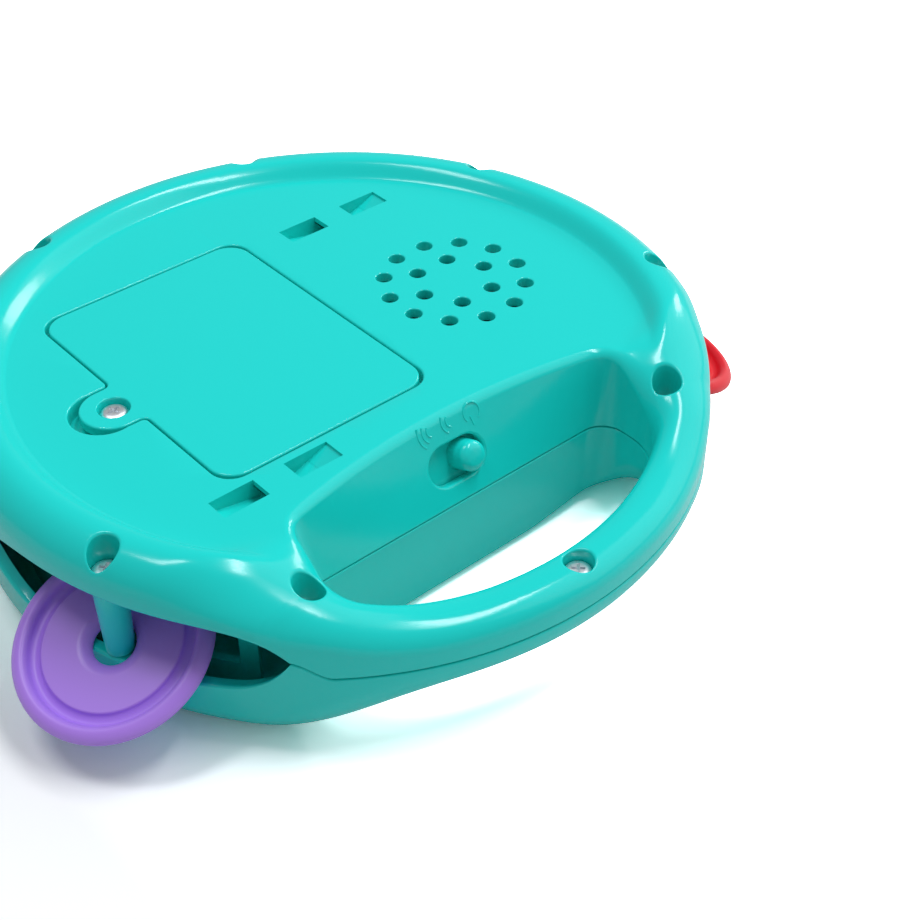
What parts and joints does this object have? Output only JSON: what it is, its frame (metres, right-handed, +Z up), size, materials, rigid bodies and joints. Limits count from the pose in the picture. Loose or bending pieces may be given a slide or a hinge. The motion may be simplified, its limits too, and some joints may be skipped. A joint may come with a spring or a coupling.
{
  "type": "toy tambourine",
  "caption": "Battery-powered toy tambourine in two moulded shells with a hand opening, captive plastic jingles on screw posts and a pressable drum pad on its front.",
  "frame": {"origin": "centre of the bounding box, on the face of the trim ring that the toy lies on", "axes": "+Z up through the back plate, -Y towards the handle, +X to the right as seen from the back"},
  "size_m": [0.1752, 0.1634, 0.0405],
  "materials": {
    "teal_shell": "moulded teal ABS, glossy",
    "purple_jingle": "moulded purple ABS, satin",
    "red_jingle": "moulded red ABS, satin",
    "yellow_plastic": "moulded yellow ABS, satin",
    "orange_jingle": "moulded orange ABS, satin",
    "zinc_screw": "zinc-plated steel",
    "white_plastic": "white plastic, matt",
    "green_board": "green lacquered board",
    "black_plastic": "black plastic and paper",
    "nickel_metal": "nickel-plated steel",
    "cell_wrap": "dark printed-free cell wrap"
  },
  "bodies": {
    "body": {"back_shell": "teal_shell", "battery_1": "cell_wrap", "battery_2": "cell_wrap", "battery_3": "cell_wrap", "battery_contact_1": "nickel_metal", "battery_contact_2": "nickel_metal", "battery_contact_3": "nickel_metal", "battery_spring_1": "nickel_metal", "battery_spring_2": "nickel_metal", "battery_spring_3": "nickel_metal", "circuit_board": "green_board", "drum_tray": "white_plastic", "front_ring": "yellow_plastic", "front_shell": "teal_shell", "handle_bar_screw": "zinc_screw", "handle_screw_1": "zinc_screw", "handle_screw_2": "zinc_screw", "lamp_1": "white_plastic", "lamp_2": "white_plastic", "lamp_3": "white_plastic", "pad_key": "black_plastic", "pad_spring_1": "nickel_metal", "pad_spring_2": "nickel_metal", "pad_spring_3": "nickel_metal", "post_screw_1": "zinc_screw", "post_screw_2": "zinc_screw", "post_screw_3": "zinc_screw", "post_screw_4": "zinc_screw", "rim_screw_1": "zinc_screw", "rim_screw_2": "zinc_screw", "sound_chip": "black_plastic", "speaker_cone": "black_plastic", "speaker_frame": "nickel_metal", "speaker_magnet": "nickel_metal", "switch_board": "green_board", "switch_body": "nickel_metal", "tray_screw_1": "zinc_screw", "tray_screw_2": "zinc_screw", "tray_screw_3": "zinc_screw", "tray_screw_4": "zinc_screw"},
    "drum_pad": {"drum_pad": "white_plastic"},
    "switch_knob": {"switch_knob": "teal_shell", "switch_lever": "black_plastic"},
    "battery_door": {"battery_door": "teal_shell", "battery_door_screw": "zinc_screw"},
    "jingle_left": {"jingle_left": "purple_jingle"},
    "jingle_right": {"jingle_right": "red_jingle"},
    "jingle_top_left": {"jingle_top_left": "yellow_plastic"},
    "jingle_top_right": {"jingle_top_right": "orange_jingle"}
  },
  "joints": [
    {"name": "jingle_left_rattle", "type": "slide", "parent": "body", "child": "jingle_left", "axis": [0, 0, 1], "range_m": [0, 0.005]},
    {"name": "jingle_right_rattle", "type": "slide", "parent": "body", "child": "jingle_right", "axis": [0, 0, 1], "range_m": [0, 0.005]},
    {"name": "jingle_top_left_rattle", "type": "slide", "parent": "body", "child": "jingle_top_left", "axis": [0, 0, 1], "range_m": [0, 0.005]},
    {"name": "jingle_top_right_rattle", "type": "slide", "parent": "body", "child": "jingle_top_right", "axis": [0, 0, 1], "range_m": [0, 0.005]},
    {"name": "pad_press", "type": "slide", "parent": "body", "child": "drum_pad", "axis": [0, 0, 1], "range_m": [0, 0.0012], "stiffness_N_per_m": 400, "springref_m": -0.001, "deforming": ["pad_spring_1", "pad_spring_2", "pad_spring_3"]},
    {"name": "switch_slide", "type": "slide", "parent": "body", "child": "switch_knob", "axis": [-1, 0, 0], "range_m": [0, 0.0054]},
    {"name": "battery_door_lift", "type": "slide", "parent": "body", "child": "battery_door", "axis": [0, 0, 1], "range_m": [0, 0.03]}
  ]
}
